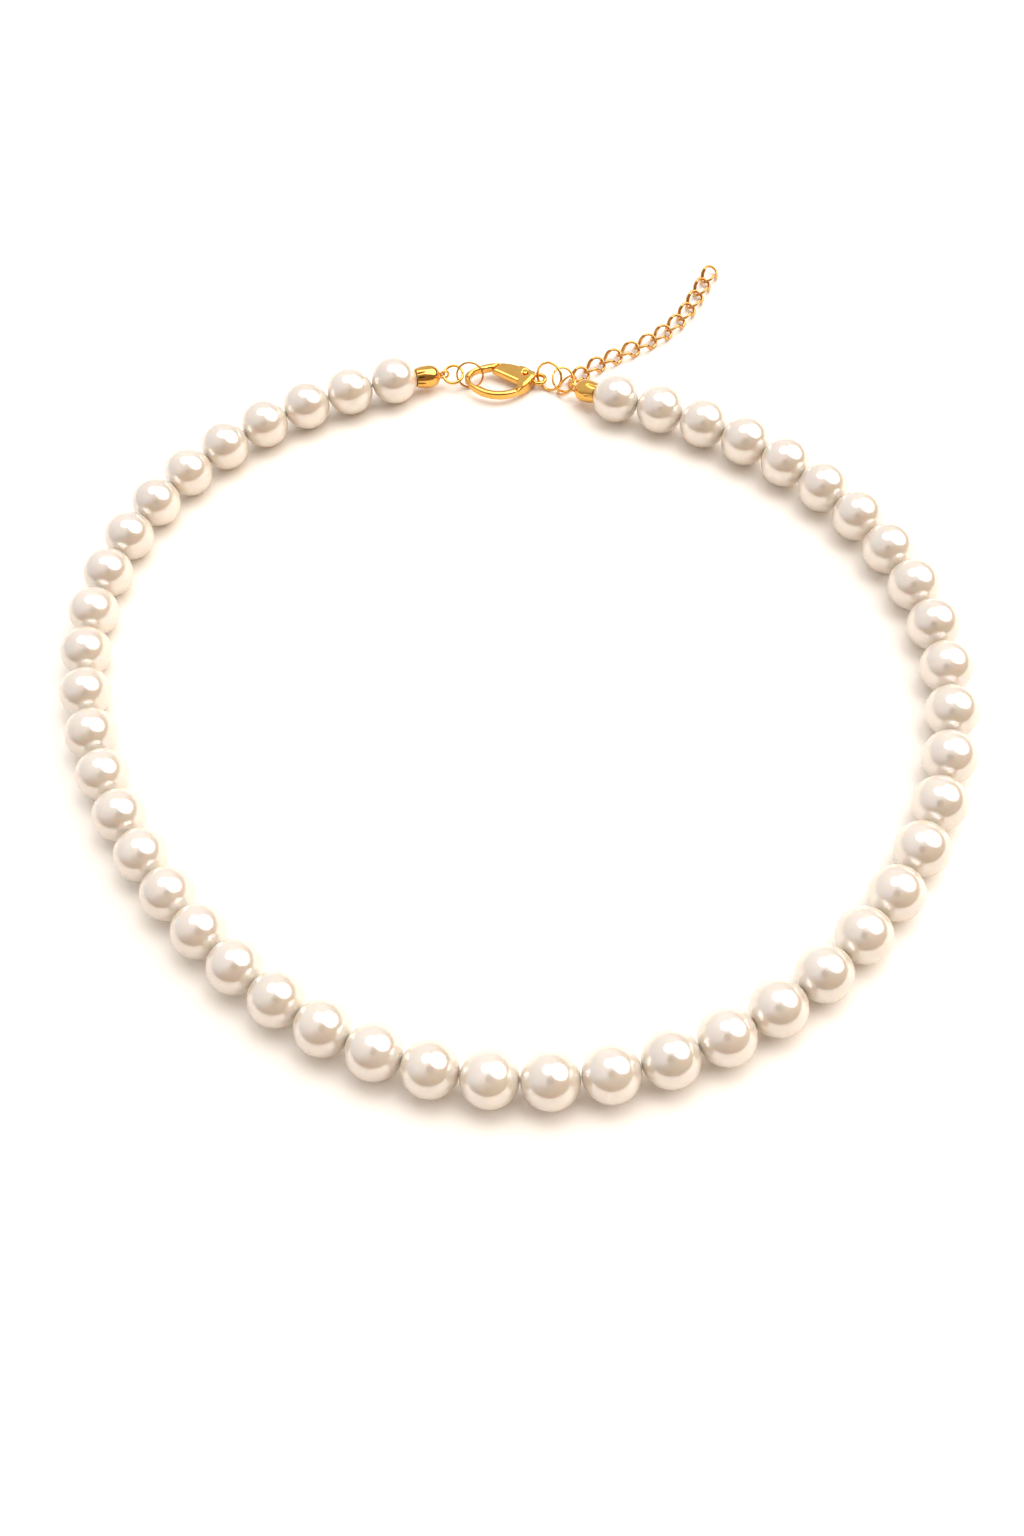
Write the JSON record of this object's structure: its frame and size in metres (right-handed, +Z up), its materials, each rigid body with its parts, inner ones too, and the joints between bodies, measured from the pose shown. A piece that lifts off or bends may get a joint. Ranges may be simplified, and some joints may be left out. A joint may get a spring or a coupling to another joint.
{
  "type": "pearl necklace",
  "caption": "Short single-strand necklace of round imitation pearls, closed by a lobster clasp on a small ring, with a curb-chain extender beside the clasp.",
  "frame": {"origin": "on the table, under the middle of the box around the necklace as it lies closed", "axes": "+Z up from the table, +Y towards the clasp at the back of the neck, +X to the side of the extender chain"},
  "size_m": [0.139, 0.157, 0.008],
  "materials": {
    "pearl": "glossy pearlescent ivory",
    "gold": "polished gold plate",
    "light_gold": "polished light gold plate",
    "thread": "matt twisted thread",
    "spring_steel": "plain drawn wire"
  },
  "bodies": {
    "front": {"pearls_front": "pearl", "thread_front": "thread"},
    "right_1": {"pearls_right_1": "pearl", "thread_right_1": "thread"},
    "right_2": {"pearls_right_2": "pearl", "thread_right_2": "thread"},
    "right_3": {"pearls_right_3": "pearl", "thread_right_3": "thread"},
    "right_4": {"pearls_right_4": "pearl", "thread_right_4": "thread"},
    "right_5": {"pearls_right_5": "pearl", "thread_right_5": "thread"},
    "right_6": {"pearls_right_6": "pearl", "thread_right_6": "thread", "right_bead_tip": "gold", "right_crimp": "gold"},
    "left_1": {"pearls_left_1": "pearl", "thread_left_1": "thread"},
    "left_2": {"pearls_left_2": "pearl", "thread_left_2": "thread"},
    "left_3": {"pearls_left_3": "pearl", "thread_left_3": "thread"},
    "left_4": {"pearls_left_4": "pearl", "thread_left_4": "thread"},
    "left_5": {"pearls_left_5": "pearl", "thread_left_5": "thread"},
    "left_6": {"pearls_left_6": "pearl", "thread_left_6": "thread", "left_bead_tip": "gold", "left_crimp": "gold"},
    "left_ring": {"left_ring": "gold"},
    "hook_ring": {"hook_ring": "light_gold"},
    "tip_ring": {"tip_ring": "gold"},
    "junction_ring": {"junction_ring": "gold"},
    "clasp_ring": {"clasp_ring": "gold"},
    "clasp": {"clasp_body": "gold", "clasp_rivet": "gold", "clasp_spring": "spring_steel"},
    "lever": {"clasp_lever": "gold"},
    "link_1": {"extender_link_1": "light_gold"},
    "link_2": {"extender_link_2": "light_gold"},
    "link_3": {"extender_link_3": "light_gold"},
    "link_4": {"extender_link_4": "light_gold"},
    "link_5": {"extender_link_5": "light_gold"},
    "link_6": {"extender_link_6": "light_gold"},
    "link_7": {"extender_link_7": "light_gold"},
    "link_8": {"extender_link_8": "light_gold"},
    "link_9": {"extender_link_9": "light_gold"},
    "link_10": {"extender_link_10": "light_gold"},
    "link_11": {"extender_link_11": "light_gold"}
  },
  "joints": [
    {"name": "right_flex_1", "type": "hinge", "parent": "front", "child": "right_1", "pos_m": [0.00177, -0.07426, 0.004], "axis": [0, 0, 1], "range_deg": [-4, 4]},
    {"name": "right_flex_2", "type": "hinge", "parent": "right_1", "child": "right_2", "pos_m": [0.03262, -0.06673, 0.004], "axis": [0, 0, 1], "range_deg": [-0.36, 0.36]},
    {"name": "right_flex_3", "type": "hinge", "parent": "right_2", "child": "right_3", "pos_m": [0.05111, -0.05146, 0.004], "axis": [0, 0, 1], "range_deg": [-3, 3]},
    {"name": "right_flex_4", "type": "hinge", "parent": "right_3", "child": "right_4", "pos_m": [0.06459, -0.02268, 0.004], "axis": [0, 0, 1], "range_deg": [-4.52, 4.52]},
    {"name": "right_flex_5", "type": "hinge", "parent": "right_4", "child": "right_5", "pos_m": [0.06095, 0.00883, 0.004], "axis": [0, 0, 1], "range_deg": [-0.76, 0.76]},
    {"name": "right_flex_6", "type": "hinge", "parent": "right_5", "child": "right_6", "pos_m": [0.04791, 0.02898, 0.004], "axis": [0, 0, 1], "range_deg": [-4.08, 4.08]},
    {"name": "left_flex_1", "type": "hinge", "parent": "front", "child": "left_1", "pos_m": [-0.0214, -0.06827, 0.004], "axis": [0, 0, 1], "range_deg": [-4, 4]},
    {"name": "left_flex_2", "type": "hinge", "parent": "left_1", "child": "left_2", "pos_m": [-0.04584, -0.04776, 0.004], "axis": [0, 0, 1], "range_deg": [-0.36, 0.36]},
    {"name": "left_flex_3", "type": "hinge", "parent": "left_2", "child": "left_3", "pos_m": [-0.05823, -0.02712, 0.004], "axis": [0, 0, 1], "range_deg": [-3.12, 3.12]},
    {"name": "left_flex_4", "type": "hinge", "parent": "left_3", "child": "left_4", "pos_m": [-0.06545, 0.004, 0.004], "axis": [0, 0, 1], "range_deg": [-4.72, 4.72]},
    {"name": "left_flex_5", "type": "hinge", "parent": "left_4", "child": "left_5", "pos_m": [-0.05646, 0.03433, 0.004], "axis": [0, 0, 1], "range_deg": [-0.84, 0.84]},
    {"name": "left_flex_6", "type": "hinge", "parent": "left_5", "child": "left_6", "pos_m": [-0.03867, 0.05026, 0.004], "axis": [0, 0, 1], "range_deg": [-4.12, 4.12]},
    {"name": "left_ring_swing", "type": "hinge", "parent": "left_6", "child": "left_ring", "pos_m": [-0.00303, 0.05957, 0.00226], "axis": [0, 0, 1], "range_deg": [-6, 6]},
    {"name": "hook_ring_swing", "type": "hinge", "parent": "left_ring", "child": "hook_ring", "pos_m": [-0.00036, 0.05864, 0.00217], "axis": [0, 0, 1], "range_deg": [-17.4, 17.4]},
    {"name": "tip_ring_swing", "type": "hinge", "parent": "right_6", "child": "tip_ring", "pos_m": [0.0189, 0.05186, 0.00226], "axis": [0, 0, 1], "range_deg": [-3, 3]},
    {"name": "junction_ring_swing", "type": "hinge", "parent": "tip_ring", "child": "junction_ring", "pos_m": [0.01791, 0.05403, 0.00126], "axis": [0, 0, 1], "range_deg": [-10, 10]},
    {"name": "clasp_ring_swing", "type": "hinge", "parent": "junction_ring", "child": "clasp_ring", "pos_m": [0.01632, 0.05422, 0.00239], "axis": [0, 0, 1], "range_deg": [-11, 11]},
    {"name": "clasp_swing", "type": "hinge", "parent": "clasp_ring", "child": "clasp", "pos_m": [0.01372, 0.05567, 0.00134], "axis": [0, 0, 1], "range_deg": [-4.2, 4.2]},
    {"name": "lever_press", "type": "hinge", "parent": "clasp", "child": "lever", "pos_m": [0.01106, 0.05685, 0.00149], "axis": [0.0516, -0.0086, 0.9986], "range_deg": [0, 18], "stiffness_Nm_per_rad": 0.03, "springref_deg": -5.73},
    {"name": "link_swing_1", "type": "hinge", "parent": "junction_ring", "child": "link_1", "pos_m": [0.01898, 0.0545, 0.00097], "axis": [0, 0, 1], "range_deg": [-12, 12]},
    {"name": "link_swing_2", "type": "hinge", "parent": "link_1", "child": "link_2", "pos_m": [0.0219, 0.05651, 0.00097], "axis": [0, 0, 1], "range_deg": [-8, 8]},
    {"name": "link_swing_3", "type": "hinge", "parent": "link_2", "child": "link_3", "pos_m": [0.02502, 0.05819, 0.00097], "axis": [0, 0, 1], "range_deg": [-8, 8]},
    {"name": "link_swing_4", "type": "hinge", "parent": "link_3", "child": "link_4", "pos_m": [0.02831, 0.05953, 0.00097], "axis": [0, 0, 1], "range_deg": [-8, 8]},
    {"name": "link_swing_5", "type": "hinge", "parent": "link_4", "child": "link_5", "pos_m": [0.03163, 0.06079, 0.00097], "axis": [0, 0, 1], "range_deg": [-8, 8]},
    {"name": "link_swing_6", "type": "hinge", "parent": "link_5", "child": "link_6", "pos_m": [0.03486, 0.06224, 0.00097], "axis": [0, 0, 1], "range_deg": [-8, 8]},
    {"name": "link_swing_7", "type": "hinge", "parent": "link_6", "child": "link_7", "pos_m": [0.03788, 0.06409, 0.00097], "axis": [0, 0, 1], "range_deg": [-8, 8]},
    {"name": "link_swing_8", "type": "hinge", "parent": "link_7", "child": "link_8", "pos_m": [0.04055, 0.06641, 0.00097], "axis": [0, 0, 1], "range_deg": [-8, 8]},
    {"name": "link_swing_9", "type": "hinge", "parent": "link_8", "child": "link_9", "pos_m": [0.04284, 0.06911, 0.00097], "axis": [0, 0, 1], "range_deg": [-8, 8]},
    {"name": "link_swing_10", "type": "hinge", "parent": "link_9", "child": "link_10", "pos_m": [0.04483, 0.07204, 0.00097], "axis": [0, 0, 1], "range_deg": [-8, 8]},
    {"name": "link_swing_11", "type": "hinge", "parent": "link_10", "child": "link_11", "pos_m": [0.04675, 0.07503, 0.00097], "axis": [0, 0, 1], "range_deg": [-8, 8]}
  ],
  "couplings": [
    {"joint": "hook_ring_swing", "follows": "left_ring_swing", "ratio": -2.9},
    {"joint": "clasp_swing", "follows": "tip_ring_swing", "ratio": -1.4},
    {"joint": "clasp_ring_swing", "follows": "junction_ring_swing", "ratio": -1.1},
    {"joint": "left_flex_6", "follows": "right_flex_1", "ratio": -1.03},
    {"joint": "left_flex_5", "follows": "right_flex_1", "ratio": 0.21},
    {"joint": "left_flex_4", "follows": "right_flex_1", "ratio": 1.18},
    {"joint": "left_flex_3", "follows": "right_flex_1", "ratio": 0.78},
    {"joint": "left_flex_2", "follows": "right_flex_1", "ratio": -0.09},
    {"joint": "left_flex_1", "follows": "right_flex_1", "ratio": -1},
    {"joint": "right_flex_2", "follows": "right_flex_1", "ratio": 0.09},
    {"joint": "right_flex_3", "follows": "right_flex_1", "ratio": -0.75},
    {"joint": "right_flex_4", "follows": "right_flex_1", "ratio": -1.13},
    {"joint": "right_flex_5", "follows": "right_flex_1", "ratio": -0.19},
    {"joint": "right_flex_6", "follows": "right_flex_1", "ratio": 1.02}
  ]
}
